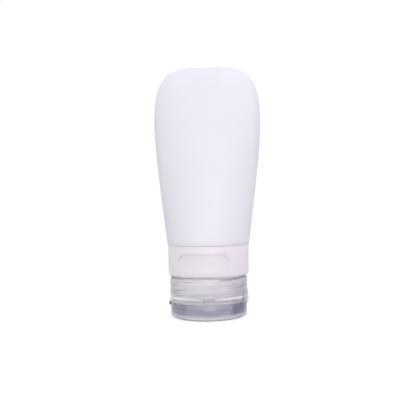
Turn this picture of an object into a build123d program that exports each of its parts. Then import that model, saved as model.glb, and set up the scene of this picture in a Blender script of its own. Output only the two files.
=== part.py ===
from build123d import *
import math
import os

# Silicone travel bottle that stands upside down on its flip-top cap. Millimetres, +Z up.
# The origin is on the bottle's axis, on the face of the lid that it stands on. The broad faces of
# the squeeze body look along -Y and +Y, the lid's hinge is on +X and its thumb tab on -X.

# Heights of the stack, from the standing face up
lid_height = 8.4
parting_gap = 0.15
cap_height = 13.35
collar_gap = 0.6
band_height = 16.7
body_height = 96.8

# Flip lid
lid_setback = 0.4
lid_wall = 1.3
lid_face = 1.5
lid_face_rounding = 1.8
lid_inside_rounding = 0.8
lip_wall = 0.9
lip_height = 1.1
lip_clearance = 0.35
lip_root = 2.4
lip_side_clearance = 1.3
plug_radius = 2.1
plug_entry = 1.2
plug_chamfer = 0.4
tab_reach = 1.0
tab_height = 2.0
tab_width = 9.0
tab_rounding = 0.4

# Screw cap
cap_setback = 1.0
skirt_wall = 1.45
skirt_end_rounding = 1.1
rim_rounding = 0.3
deck_recess = 1.65
deck_thickness = 1.6
spout_length = 5.0
spout_radius = 3.9
spout_tip_radius = 3.4
spout_bore_radius = 2.4
spout_chamfer = 0.3
boss_wall = 1.2
boss_height = 2.6
scoop_radius = 14.0
scoop_depth = 0.7
scoop_height = 3.2

# Hinge between lid and cap
hinge_setback = 0.9
knuckle_radius = 1.8
knuckle_length = 7.8
ear_length = 4.0
ear_proud = 0.8
knuckle_end_gap = 0.2
knuckle_clearance = 0.25
notch_clearance = 0.95
pin_radius = 0.8
pin_seat_fit = 0.02
pin_running_fit = 0.06
shoulder_proud = 0.6
shoulder_low = 2.7
shoulder_high = 4.4
shoulder_end = 6.6

# Drip valve and its retainer
valve_radius = 8.2
valve_fit = 0.2
valve_flange = 1.0
valve_wall = 0.8
dome_radius = 3.6
dome_rise = 1.5
slit_length = 3.6
slit_width = 0.15
retainer_bore_radius = 4.6
retainer_height = 1.4
retainer_fit = 0.1
retainer_chamfer = 0.4

# Sealing ring and the rolled lip of the silicone mouth
seal_thickness = 1.1
seal_side_clearance = 0.35
seal_chamfer = 0.2
mouth_lip_thickness = 1.1
mouth_lip_setback = 0.3
seat_gap = 0.05

# Collar: threaded neck, flange and outer band
neck_clearance = 0.95
neck_wall = 2.2
neck_chamfer = 0.4
flange_thickness = 1.6
band_radius = 22.2
band_draft = 0.25
band_wall = 1.4
band_rounding = 1.5
band_top_rounding = 0.2
window_width = 26.6
window_height = 8.2
window_end_flat = 0.8
window_depth = 0.6

# Label ring that turns between the band and the silicone
ring_thickness = 1.05
ring_outer_clearance = 0.25
ring_inner_clearance = 0.3
ring_end_clearance = 0.15
ring_edge_chamfer = 0.2

# Squeeze body: round at the collar, flattened and wider towards its closed end
body_proud = 0.2
body_wall = 2.4
neck_fit = 0.1
silicone_neck_wall = 2.2
seat_wall = 2.2
width_taper = 0.124
depth_taper = 0.132
dome_extra = 0.15
width_dome_power = 4.6
width_dome_root = 4.0
depth_dome_power = 10.0
depth_dome_root = 2.2
squareness_gain = 0.7
throat_length = 5.0
section_count = 14
section_points = 24

# One overrun serves all cuts
overrun = 2.0

# Levels of the stack
cap_bottom = lid_height + parting_gap
cap_top = cap_bottom + cap_height
band_bottom = cap_top + collar_gap
band_top = band_bottom + band_height
body_top = band_top + body_height
deck_low = cap_bottom + deck_recess
deck_high = deck_low + deck_thickness
seal_low = deck_high + seat_gap
seal_high = seal_low + seal_thickness
mouth_level = seal_high + seat_gap
rim_level = mouth_level + mouth_lip_thickness
flange_top = band_bottom + flange_thickness
hinge_level = lid_height + parting_gap / 2

# Radii and reaches that follow from the band's radius
body_radius = band_radius + body_proud
cap_radius = band_radius - cap_setback
lid_radius = cap_radius - lid_setback
hinge_reach = lid_radius - hinge_setback
ear_reach = cap_radius + ear_proud
skirt_inside = cap_radius - skirt_wall
neck_radius = skirt_inside - neck_clearance
collar_bore = neck_radius - neck_wall
silicone_neck_radius = collar_bore - neck_fit
mouth_radius = silicone_neck_radius - silicone_neck_wall
band_inside = band_radius - band_wall
ring_outside = band_inside - ring_outer_clearance
ring_inside = ring_outside - ring_thickness
seat_radius = ring_inside - ring_inner_clearance
throat_radius = seat_radius - seat_wall
ear_start = knuckle_length / 2 + knuckle_end_gap
ear_end = ear_start + ear_length
lip_cutback = ear_end + lip_side_clearance
window_corner = (window_height - window_end_flat) / 2


def turned(points):
    """Solid of revolution about Z from (radius, height) corners."""
    outline = Polyline(*[(radius, 0, level) for radius, level in points], close=True)
    return revolve(make_face(outline), Axis.Z)


def rings(solid, radius, level):
    """Circular edges of a solid that have one radius and one height."""
    close = 1e-3
    return [
        edge
        for edge in solid.edges().filter_by(GeomType.CIRCLE)
        if abs(edge.radius - radius) < close and abs(edge.arc_center.Z - level) < close
    ]


def hinge_barrel(radius, low_y, high_y):
    """Cylinder on the hinge axis between two places along it."""
    middle = (low_y + high_y) / 2
    return Pos(hinge_reach, middle, hinge_level) * Rot(X=90) * Cylinder(radius, high_y - low_y)


def sector(points, half_angle):
    """Part of a solid of revolution, centred on +X, from (radius, height) corners."""
    outline = Polyline(*[(radius, 0, level) for radius, level in points], close=True)
    swept = revolve(make_face(outline), Axis.Z, revolution_arc=2 * half_angle)
    return Rot(Z=-half_angle) * swept


def body_section(level, outline_level, inset):
    """One level section of the squeeze body: a rounded oval that grows squarer upwards."""
    share = (outline_level - band_top) / (body_height + dome_extra)
    rise = outline_level - band_top
    width = (body_radius + width_taper * rise) * (1 - share**width_dome_power) ** (1 / width_dome_root)
    depth = (body_radius - depth_taper * rise) * (1 - share**depth_dome_power) ** (1 / depth_dome_root)
    squareness = 2 + squareness_gain * share
    points = []
    for step in range(section_points):
        angle = 2 * math.pi * step / section_points
        across, along = math.cos(angle), math.sin(angle)
        x = math.copysign(abs(across) ** (2 / squareness), across) * (width - inset)
        y = math.copysign(abs(along) ** (2 / squareness), along) * (depth - inset)
        points.append((x, y, level))
    return make_face(Spline(*points, periodic=True))


def body_sections(first_level, last_level, inset, count):
    """Sections from one level to another, closer together towards the closed end."""
    sections = []
    for step in range(count + 1):
        share = math.sin(math.pi / 2 * step / count)
        level = first_level + (last_level - first_level) * share
        outline_level = band_top + body_height * (level - band_top) / (last_level - band_top)
        sections.append(body_section(level, outline_level, inset))
    return sections


def make_squeeze_body():
    """Silicone shell: lofted body, seat inside the collar, neck tube and rolled mouth lip."""
    shell = loft(body_sections(band_top, body_top, 0, section_count))
    root = turned(
        [
            (0, mouth_level),
            (neck_radius - mouth_lip_setback, mouth_level),
            (neck_radius - mouth_lip_setback, rim_level),
            (silicone_neck_radius, rim_level),
            (silicone_neck_radius, flange_top + seat_gap),
            (seat_radius, flange_top + seat_gap),
            (seat_radius, band_top + overrun),
            (0, band_top + overrun),
        ]
    )
    throat_top = band_top + throat_length
    bore = turned(
        [
            (0, mouth_level - overrun),
            (mouth_radius, mouth_level - overrun),
            (mouth_radius, flange_top),
            (throat_radius, flange_top + throat_radius - mouth_radius),
            (throat_radius, band_top),
            (body_radius - body_wall, throat_top),
            (0, throat_top),
        ]
    )
    hollow = loft(body_sections(throat_top, body_top - body_wall, body_wall, section_count))
    return shell + root - bore - hollow


def make_collar():
    """Rigid ring: threaded neck, flange and the outer band with its thinned window."""
    collar = turned(
        [
            (collar_bore, rim_level),
            (neck_radius, rim_level),
            (neck_radius, band_bottom),
            (band_radius - band_draft, band_bottom),
            (band_radius, band_top),
            (band_inside, band_top),
            (band_inside, flange_top),
            (collar_bore, flange_top),
        ]
    )
    collar = fillet(rings(collar, band_radius - band_draft, band_bottom), band_rounding)
    collar = fillet(rings(collar, band_radius, band_top), band_top_rounding)
    collar = chamfer(rings(collar, neck_radius, rim_level), neck_chamfer)
    middle = (band_bottom + band_top) / 2
    frame = Plane((0, 0, middle), x_dir=(1, 0, 0), z_dir=(0, -1, 0))
    outline = frame * RectangleRounded(window_width, window_height, window_corner)
    opening = extrude(outline, band_radius + overrun)
    core = Pos(0, 0, middle) * Cylinder(band_radius - window_depth, band_height)
    return collar - (opening - core)


def make_label_ring():
    """Plain ring that turns behind the window."""
    low = flange_top + ring_end_clearance
    high = band_top - ring_end_clearance
    ring = turned([(ring_inside, low), (ring_outside, low), (ring_outside, high), (ring_inside, high)])
    ends = rings(ring, ring_outside, low) + rings(ring, ring_outside, high)
    return chamfer(ends, ring_edge_chamfer)


def make_screw_cap():
    """Cap: threaded skirt, recessed deck with the spout, valve boss, hinge ears and thumb scoop."""
    boss_inside = valve_radius + valve_fit
    boss_outside = boss_inside + boss_wall
    cap = turned(
        [
            (spout_bore_radius, deck_low - spout_length),
            (spout_tip_radius, deck_low - spout_length),
            (spout_radius, deck_low),
            (skirt_inside, deck_low),
            (skirt_inside, cap_bottom),
            (cap_radius, cap_bottom),
            (cap_radius, cap_top),
            (skirt_inside, cap_top),
            (skirt_inside, deck_high),
            (boss_outside, deck_high),
            (boss_outside, deck_high + boss_height),
            (boss_inside, deck_high + boss_height),
            (boss_inside, deck_high),
            (spout_bore_radius, deck_high),
        ]
    )
    cap = fillet(rings(cap, cap_radius, cap_top), skirt_end_rounding)
    cap = fillet(rings(cap, cap_radius, cap_bottom), rim_rounding)
    cap = chamfer(rings(cap, spout_bore_radius, deck_low - spout_length), spout_chamfer)
    shoulder = sector(
        [
            (skirt_inside + skirt_wall / 2, hinge_level),
            (cap_radius, hinge_level),
            (cap_radius + shoulder_proud, hinge_level + shoulder_low),
            (cap_radius + shoulder_proud, hinge_level + shoulder_high),
            (cap_radius, hinge_level + shoulder_end),
            (skirt_inside + skirt_wall / 2, hinge_level + shoulder_end),
        ],
        math.degrees(math.asin(ear_end / ear_reach)),
    )
    shoulder -= Pos(0, 0, cap_bottom - cap_height / 2) * Cylinder(ear_reach + overrun, cap_height)
    cap += shoulder
    trim = Pos(0, 0, hinge_level) * Cylinder(ear_reach, cap_height)
    for side in (-1, 1):
        near, far = sorted((side * ear_start, side * ear_end))
        cap += hinge_barrel(knuckle_radius, near, far) & trim
    notch_half = ear_start
    cap -= hinge_barrel(knuckle_radius + notch_clearance, -notch_half, notch_half)
    cap -= hinge_barrel(pin_radius + pin_seat_fit, -ear_end - overrun, ear_end + overrun)
    scoop_place = cap_radius + scoop_radius - scoop_depth
    cap -= Pos(-scoop_place, 0, cap_bottom + scoop_height) * Sphere(scoop_radius)
    return cap


def make_flip_lid():
    """Lid: standing face, skirt with a locating lip, sealing plug, thumb tab and hinge knuckle."""
    lip_outside = skirt_inside - lip_clearance
    lip_inside = lip_outside - lip_wall
    wall_inside = lid_radius - lid_wall
    plug_top = deck_low - spout_length + plug_entry
    lid = turned(
        [
            (0, 0),
            (lid_radius, 0),
            (lid_radius, lid_height),
            (lip_outside, lid_height),
            (lip_outside, lid_height + lip_height),
            (lip_inside, lid_height + lip_height),
            (lip_inside, lid_height - lip_root),
            (wall_inside, lid_height - lip_root - (wall_inside - lip_inside)),
            (wall_inside, lid_face),
            (plug_radius, lid_face),
            (plug_radius, plug_top),
            (0, plug_top),
        ]
    )
    lid = fillet(rings(lid, lid_radius, 0), lid_face_rounding)
    lid = fillet(rings(lid, wall_inside, lid_face), lid_inside_rounding)
    lid = chamfer(rings(lid, plug_radius, plug_top), plug_chamfer)
    cutback = Box(lid_radius, 2 * lip_cutback, lip_height + overrun)
    lid -= Pos(lid_radius, 0, lid_height + (lip_height + overrun) / 2) * cutback
    tab_half = math.degrees(tab_width / 2 / lid_radius)
    tab = sector(
        [
            (lid_radius - lid_wall / 2, lid_height - tab_height),
            (lid_radius + tab_reach, lid_height - tab_height),
            (lid_radius + tab_reach, lid_height),
            (lid_radius - lid_wall / 2, lid_height),
        ],
        tab_half,
    )
    chord = lid_radius * math.cos(math.radians(tab_half))
    outer_edges = [edge for edge in tab.edges() if edge.center().X > chord]
    tab = fillet([edge for edge in outer_edges if edge.geom_type == GeomType.LINE], tab_rounding)
    lid += Rot(Z=180) * tab
    for side in (-1, 1):
        near, far = sorted((side * (ear_start - knuckle_end_gap), side * (ear_end + knuckle_end_gap)))
        lid -= hinge_barrel(knuckle_radius + knuckle_clearance, near, far)
    lid += hinge_barrel(knuckle_radius, -knuckle_length / 2, knuckle_length / 2)
    return lid - hinge_barrel(pin_radius + pin_running_fit, -ear_end, ear_end)


def make_hinge_pin():
    """Straight pin through both ears and the lid's knuckle."""
    return hinge_barrel(pin_radius, -ear_end + knuckle_end_gap, ear_end - knuckle_end_gap)


def make_drip_valve():
    """Silicone valve: flat flange with a domed middle that a crossed slit cuts through."""
    low = seal_low
    dome_top = low + valve_flange + dome_rise
    flange = Pos(0, 0, low + valve_flange / 2) * Cylinder(valve_radius, valve_flange)
    rise = valve_flange + dome_rise
    outer = (dome_radius**2 + dome_rise**2) / (2 * dome_rise)
    inner_base = dome_radius - valve_wall
    inner_rise = rise - valve_wall
    inner = (inner_base**2 + inner_rise**2) / (2 * inner_rise)
    above = Pos(0, 0, low + valve_flange + rise) * Cylinder(dome_radius, 2 * rise)
    below = Pos(0, 0, low + rise) * Cylinder(inner_base, 2 * rise)
    dome = Pos(0, 0, dome_top - outer) * Sphere(outer) & above
    hollow = Pos(0, 0, low + inner_rise - inner) * Sphere(inner) & below
    valve = flange + dome - hollow
    for turn in (0, 90):
        slit = Box(slit_length, slit_width, 2 * rise)
        valve -= Pos(0, 0, dome_top) * Rot(Z=turn) * slit
    return valve


def make_valve_retainer():
    """Ring pressed into the boss over the valve's flange."""
    low = seal_low + valve_flange + seat_gap
    high = low + retainer_height
    bore = retainer_bore_radius
    outside = valve_radius + valve_fit - retainer_fit
    ring = turned([(bore, low), (outside, low), (outside, high), (bore, high)])
    return chamfer(rings(ring, bore, high), retainer_chamfer)


def make_cap_seal():
    """Flat sealing ring between the cap's deck and the silicone lip of the mouth."""
    inside = mouth_radius + mouth_lip_setback
    outside = skirt_inside - seal_side_clearance
    ring = turned([(inside, seal_low), (outside, seal_low), (outside, seal_high), (inside, seal_high)])
    ends = rings(ring, outside, seal_low) + rings(ring, outside, seal_high)
    return chamfer(ends, seal_chamfer)


pieces = {
    "squeeze_body": make_squeeze_body,
    "collar": make_collar,
    "label_ring": make_label_ring,
    "screw_cap": make_screw_cap,
    "flip_lid": make_flip_lid,
    "hinge_pin": make_hinge_pin,
    "drip_valve": make_drip_valve,
    "valve_retainer": make_valve_retainer,
    "cap_seal": make_cap_seal,
}

os.makedirs("parts", exist_ok=True)
for name, make in pieces.items():
    export_step(make(), f"parts/{name}.step")
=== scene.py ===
"""Dresses the travel squeeze bottle: soft silicone body, collar with its window, clear cap and lid."""

import logging
import math
from dataclasses import dataclass
from enum import Enum
from typing import Any, Callable, Iterable, Sequence

import bmesh
import bpy
from mathutils import Matrix, Vector


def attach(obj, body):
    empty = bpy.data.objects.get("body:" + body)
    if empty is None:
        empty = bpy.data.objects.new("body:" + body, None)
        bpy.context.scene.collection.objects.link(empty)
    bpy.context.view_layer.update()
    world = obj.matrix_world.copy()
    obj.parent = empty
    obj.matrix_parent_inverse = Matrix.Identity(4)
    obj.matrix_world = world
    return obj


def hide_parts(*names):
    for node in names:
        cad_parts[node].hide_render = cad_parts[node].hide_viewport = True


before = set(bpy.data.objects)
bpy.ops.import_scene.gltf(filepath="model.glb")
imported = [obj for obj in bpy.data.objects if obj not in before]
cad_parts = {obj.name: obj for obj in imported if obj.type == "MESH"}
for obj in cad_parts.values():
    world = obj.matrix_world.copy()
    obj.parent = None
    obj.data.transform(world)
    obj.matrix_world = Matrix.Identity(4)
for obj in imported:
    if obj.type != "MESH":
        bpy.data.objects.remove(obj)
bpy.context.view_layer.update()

LOG = logging.getLogger("bottle")

MM = 0.001
TURN = 2 * math.pi
OVAL = 2.0

# Corners of a ring, of a ring of the small valve parts, and of a barrel
ROUND_SIDES = 192
VALVE_SIDES = 128
TOOL_SIDES = 64

# How near a vertex lies to the place that it is looked for at, and to one that it merges with, in mm
NEAR_MM = 0.004
MERGE_MM = 0.0004

# How far a cutting solid passes what it cuts, and a reach past the side of the cap, in mm
OVERRUN = 1.0
FAR = 30.0

SHARP_DEGREES = 32.0

Colour = tuple[float, float, float]
Spot = tuple[float, float, float]
Corner = tuple[float, float]
Fade = tuple[float, float]
Settings = dict[str, Any] | None
Sockets = dict[Any, Any] | None


class Body(Enum):
    """Bodies of the model that pieces ride on."""

    BOTTLE = "bottle"
    RING = "ring"
    SEAL = "seal"
    CAP = "cap"
    LID = "lid"


class Slot(Enum):
    """Material slots of the record."""

    SILICONE = "silicone"
    COLLAR = "collar_plastic"
    LABEL = "label_plastic"
    CAP = "cap_plastic"
    LID = "lid_plastic"
    PIN = "pin_plastic"
    VALVE = "valve_silicone"
    RETAINER = "retainer_plastic"
    SEAL = "seal_silicone"


class Part(Enum):
    """What a selection in edit mode picks."""

    VERTICES = "VERT"
    EDGES = "EDGE"
    FACES = "FACE"


class Cut(Enum):
    """How one solid acts on another."""

    JOIN = "UNION"
    REMOVE = "DIFFERENCE"
    KEEP_SHARED = "INTERSECT"


class Side(Enum):
    """Which way a thread stands proud of its wall."""

    OUTWARD = 1
    INWARD = -1


# Modelling by operators


@dataclass(frozen=True)
class Ring:
    """One level of a stack of rings, in millimetres."""

    level: float
    across: float
    along: float
    squareness: float = OVAL


def rounds(corners: Iterable[Corner]) -> list[Ring]:
    """Circular rings from (radius, level) corners in millimetres."""
    return [Ring(level, radius, radius) for radius, level in corners]


def levels_between(low: float, high: float, spacing: float) -> list[float]:
    """Even levels strictly between two levels, about a spacing apart."""
    count = max(2, round((high - low) / spacing))
    return [low + (high - low) * step / count for step in range(1, count)]


def deselect() -> None:
    """Deselects every object."""
    bpy.ops.object.select_all(action="DESELECT")


def activate(piece: bpy.types.Object) -> None:
    """Makes one object the only one selected and the active one."""
    deselect()
    piece.select_set(True)
    bpy.context.view_layer.objects.active = piece


def fix_place(name: str) -> bpy.types.Object:
    """Names the primitive just added and puts its place into its mesh.

    Args:
        name: Name of the piece.

    Returns:
        The object, at the origin, unturned and unscaled.
    """
    piece = bpy.context.active_object
    piece.name = name
    piece.data.name = name
    bpy.ops.object.transform_apply(location=True, rotation=True, scale=True)
    return piece


def pick(piece: bpy.types.Object, kind: Part, test: Callable[[Vector], bool]) -> int:
    """Selects, in edit mode, what has all its corners where a test says.

    Args:
        piece: Object in edit mode.
        kind: Vertices, edges or faces.
        test: Says of a place in millimetres whether it counts.

    Returns:
        How many were selected.
    """
    bpy.ops.mesh.select_mode(type=kind.value)
    bpy.ops.mesh.select_all(action="DESELECT")
    shape = bmesh.from_edit_mesh(piece.data)
    inside = {v.index: test(v.co / MM) for v in shape.verts}
    found = {Part.VERTICES: shape.verts, Part.EDGES: shape.edges, Part.FACES: shape.faces}[kind]
    count = 0
    for item in found:
        corners = [item] if kind is Part.VERTICES else item.verts
        item.select = all(inside[v.index] for v in corners)
        count += item.select
    shape.select_flush_mode()
    bmesh.update_edit_mesh(piece.data)
    return count


def stack_rings(
    name: str, rings: Sequence[Ring], closed: bool = False, sides: int = ROUND_SIDES
) -> bpy.types.Object:
    """Extrudes a circle from ring to ring, to a solid of any profile.

    Args:
        name: Name of the piece.
        rings: Levels in order. A last ring of no radius becomes a pole.
        closed: Whether the last ring joins the first, as in a tube's wall.
        sides: Corners of each ring.

    Returns:
        The closed solid, with its normals outwards.
    """
    deselect()
    first = rings[0]
    place = (0, 0, first.level * MM)
    bpy.ops.mesh.primitive_circle_add(
        vertices=sides,
        radius=first.across * MM,
        fill_type="NOTHING" if closed else "TRIFAN",
        location=place,
    )
    piece = fix_place(name)
    bpy.ops.object.mode_set(mode="EDIT")
    pick(piece, Part.VERTICES, lambda at: math.hypot(at.x, at.y) > NEAR_MM)
    bpy.ops.transform.resize(value=(1, first.along / first.across, 1), center_override=place)
    squared: list[tuple[Ring, list[int]]] = []
    note_ring(piece, first, squared)
    here = first
    path = [*rings[1:], first] if closed else list(rings[1:])
    for ring in path:
        rise = (0, 0, (ring.level - here.level) * MM)
        bpy.ops.mesh.extrude_region_move(TRANSFORM_OT_translate={"value": rise})
        if ring.across <= 0:
            bpy.ops.mesh.merge(type="CENTER")
            break
        growth = (ring.across / here.across, ring.along / here.along, 1)
        bpy.ops.transform.resize(value=growth, center_override=(0, 0, ring.level * MM))
        note_ring(piece, ring, squared)
        here = ring
    else:
        if not closed:
            bpy.ops.mesh.edge_face_add()
    bpy.ops.object.mode_set(mode="OBJECT")
    square_rings(piece, squared)
    tidy_mesh(piece)
    return piece


def note_ring(piece: bpy.types.Object, ring: Ring, squared: list[tuple[Ring, list[int]]]) -> None:
    """Remembers which vertices a squared ring has.

    Args:
        piece: Object in edit mode, with the ring selected.
        ring: The ring.
        squared: Collects the ring with its vertices.
    """
    if ring.squareness != OVAL:
        shape = bmesh.from_edit_mesh(piece.data)
        shape.verts.index_update()
        squared.append((ring, [v.index for v in shape.verts if v.select]))


def square_rings(piece: bpy.types.Object, squared: list[tuple[Ring, list[int]]]) -> None:
    """Moves the vertices of ovals outwards to rounded rectangles.

    Args:
        piece: The piece, in object mode.
        squared: Rings with their vertices.
    """
    for ring, members in squared:
        for index in members:
            spot = piece.data.vertices[index].co
            angle = math.atan2(spot.y / ring.along, spot.x / ring.across)
            power = OVAL / ring.squareness
            spot.x = math.copysign(abs(math.cos(angle)) ** power, math.cos(angle)) * ring.across * MM
            spot.y = math.copysign(abs(math.sin(angle)) ** power, math.sin(angle)) * ring.along * MM


def tidy_mesh(piece: bpy.types.Object) -> None:
    """Merges doubles and turns all normals outwards."""
    activate(piece)
    bpy.ops.object.mode_set(mode="EDIT")
    bpy.ops.mesh.select_mode(type="VERT")
    bpy.ops.mesh.select_all(action="SELECT")
    bpy.ops.mesh.remove_doubles(threshold=MERGE_MM * MM)
    bpy.ops.mesh.normals_make_consistent(inside=False)
    # A small piece can come out of that inside out, which its signed volume tells
    if bmesh.from_edit_mesh(piece.data).calc_volume(signed=True) < 0:
        bpy.ops.mesh.flip_normals()
    bpy.ops.object.mode_set(mode="OBJECT")


def soften(piece: bpy.types.Object, corners: Sequence[Corner], size: float, segments: int = 3) -> None:
    """Bevels the round edges at some (radius, level) corners.

    Args:
        piece: The piece, in object mode.
        corners: Radius and level of each edge, in millimetres.
        size: Width of the bevel, in millimetres.
        segments: Faces across the bevel.
    """

    def on_corner(at: Vector) -> bool:
        """Whether a place is on one of the edges."""
        reach = math.hypot(at.x, at.y)
        return any(
            abs(reach - radius) < NEAR_MM and abs(at.z - level) < NEAR_MM for radius, level in corners
        )

    activate(piece)
    bpy.ops.object.mode_set(mode="EDIT")
    found = pick(piece, Part.EDGES, on_corner)
    if not found:
        LOG.warning("%s has no edge to soften at %s", piece.name, corners)
    bpy.ops.mesh.bevel(offset=size * MM, segments=segments, affect="EDGES", clamp_overlap=True)
    bpy.ops.object.mode_set(mode="OBJECT")


def box(name: str, low: Spot, high: Spot) -> bpy.types.Object:
    """A block between two corners in millimetres, for cutting.

    Args:
        name: Name of the block.
        low: Lowest corner.
        high: Highest corner.

    Returns:
        The block.
    """
    deselect()
    middle = [(a + b) / 2 * MM for a, b in zip(low, high)]
    size = [(b - a) * MM for a, b in zip(low, high)]
    bpy.ops.mesh.primitive_cube_add(size=1, location=middle, scale=size)
    return fix_place(name)


def barrel(name: str, radius: float, axis: Corner, low_y: float, high_y: float) -> bpy.types.Object:
    """A cylinder along Y between two places, in millimetres.

    Args:
        name: Name of the cylinder.
        radius: Its radius.
        axis: X and Z of its axis.
        low_y: Where it starts.
        high_y: Where it ends.

    Returns:
        The cylinder.
    """
    deselect()
    bpy.ops.mesh.primitive_cylinder_add(
        vertices=TOOL_SIDES,
        radius=radius * MM,
        depth=(high_y - low_y) * MM,
        location=(axis[0] * MM, (low_y + high_y) / 2 * MM, axis[1] * MM),
        rotation=(math.pi / 2, 0, 0),
    )
    return fix_place(name)


def carve(piece: bpy.types.Object, tool: bpy.types.Object, how: Cut) -> None:
    """Applies an exact Boolean and deletes the tool.

    Args:
        piece: What is kept.
        tool: What acts on it.
        how: Join, remove or keep what is shared.
    """
    activate(piece)
    bpy.ops.object.modifier_add(type="BOOLEAN")
    change = piece.modifiers[-1]
    change.operation = how.value
    change.solver = "EXACT"
    change.object = tool
    bpy.ops.object.modifier_apply(modifier=change.name)
    bpy.data.objects.remove(tool)


def smooth(piece: bpy.types.Object, degrees: float = SHARP_DEGREES) -> None:
    """Shades a piece smooth, apart from the edges that turn more than some degrees."""
    tidy_mesh(piece)
    activate(piece)
    bpy.ops.object.shade_smooth_by_angle(angle=math.radians(degrees))


def flat_ring(name: str, inside: float, outside: float, low: float, high: float) -> bpy.types.Object:
    """A plain ring of four corners, in millimetres.

    Args:
        name: Name of the piece.
        inside: Radius of its bore.
        outside: Its outer radius.
        low: Its lower level.
        high: Its upper level.

    Returns:
        The ring.
    """
    corners = [(inside, low), (outside, low), (outside, high), (inside, high)]
    return stack_rings(name, rounds(corners), closed=True)


@dataclass(frozen=True)
class Thread:
    """A helical ridge of a right-hand thread, in millimetres."""

    crest_level: float
    low: float
    high: float
    depth: float
    pitch: float = 4.2
    crest_half: float = 0.36
    root_half: float = 0.92
    runout: float = 0.35

    def proud(self, angle: float, level: float) -> float:
        """How far the ridge stands out of its wall at one place.

        Args:
            angle: Angle about Z, from +X, in radians.
            level: Height.

        Returns:
            The height of the ridge there.
        """
        front = (angle + math.pi / 2) / TURN
        lap = round((level - self.crest_level) / self.pitch - front)
        centre = self.crest_level + self.pitch * (front + lap)
        slope = (self.root_half - abs(level - centre)) / (self.root_half - self.crest_half)
        ends = min((centre - self.low) / self.runout, (self.high - centre) / self.runout)
        return self.depth * ease(slope) * ease(ends)

    def raise_on(self, piece: bpy.types.Object, radius: float, low: float, high: float, side: Side) -> None:
        """Moves the vertices of a round wall into the thread's shape.

        Args:
            piece: The piece, in object mode.
            radius: Radius of the wall.
            low: Lowest level that may move.
            high: Highest level that may move.
            side: Which way the thread stands.
        """
        for vertex in piece.data.vertices:
            spot = vertex.co
            reach = math.hypot(spot.x, spot.y)
            level = spot.z / MM
            if abs(reach / MM - radius) < NEAR_MM and low < level < high:
                proud = side.value * self.proud(math.atan2(spot.y, spot.x), level) * MM
                spot.x *= (reach + proud) / reach
                spot.y *= (reach + proud) / reach


def ease(share: float) -> float:
    """A smooth step from 0 to 1."""
    share = min(1.0, max(0.0, share))
    return share * share * (3 - 2 * share)


# Materials


class Wire:
    """A socket that adds Math nodes when it is used in an expression."""

    def __init__(self, paint: "Paint", socket: bpy.types.NodeSocket) -> None:
        """Keeps the material and one of its output sockets."""
        self.paint = paint
        self.socket = socket

    def join(self, operation: str, left: Any, right: Any = None, clamp: bool = False) -> "Wire":
        """One Math node.

        Args:
            operation: What the node does.
            left: Its first value or wire.
            right: Its second value or wire, where it has one.
            clamp: Whether the result is kept between 0 and 1.

        Returns:
            The result's wire.
        """
        values = {0: left} if right is None else {0: left, 1: right}
        made = self.paint.node("ShaderNodeMath", {"operation": operation, "use_clamp": clamp}, values)
        return Wire(self.paint, made.outputs[0])

    def __add__(self, other: Any) -> "Wire":
        """Sum."""
        return self.join("ADD", self, other)

    def __radd__(self, other: Any) -> "Wire":
        """Sum, turned round."""
        return self.join("ADD", other, self)

    def __sub__(self, other: Any) -> "Wire":
        """Difference."""
        return self.join("SUBTRACT", self, other)

    def __rsub__(self, other: Any) -> "Wire":
        """Difference, turned round."""
        return self.join("SUBTRACT", other, self)

    def __mul__(self, other: Any) -> "Wire":
        """Product."""
        return self.join("MULTIPLY", self, other)

    def __rmul__(self, other: Any) -> "Wire":
        """Product, turned round."""
        return self.join("MULTIPLY", other, self)

    def __truediv__(self, other: Any) -> "Wire":
        """Quotient."""
        return self.join("DIVIDE", self, other)

    def __abs__(self) -> "Wire":
        """Size without sign."""
        return self.join("ABSOLUTE", self)

    def clamped(self) -> "Wire":
        """Kept between 0 and 1."""
        return self.join("ADD", self, 0.0, clamp=True)

    def eased(self) -> "Wire":
        """A smooth step from 0 to 1, for a wire that stays between them."""
        return self * self * (3 - 2 * self)

    def larger(self, other: Any) -> "Wire":
        """The larger of two."""
        return self.join("MAXIMUM", self, other)

    def ramp(self, start: float, end: float) -> "Wire":
        """From 0 at one place in millimetres to 1 at another."""
        return ((self - start * MM) / ((end - start) * MM)).clamped()


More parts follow.
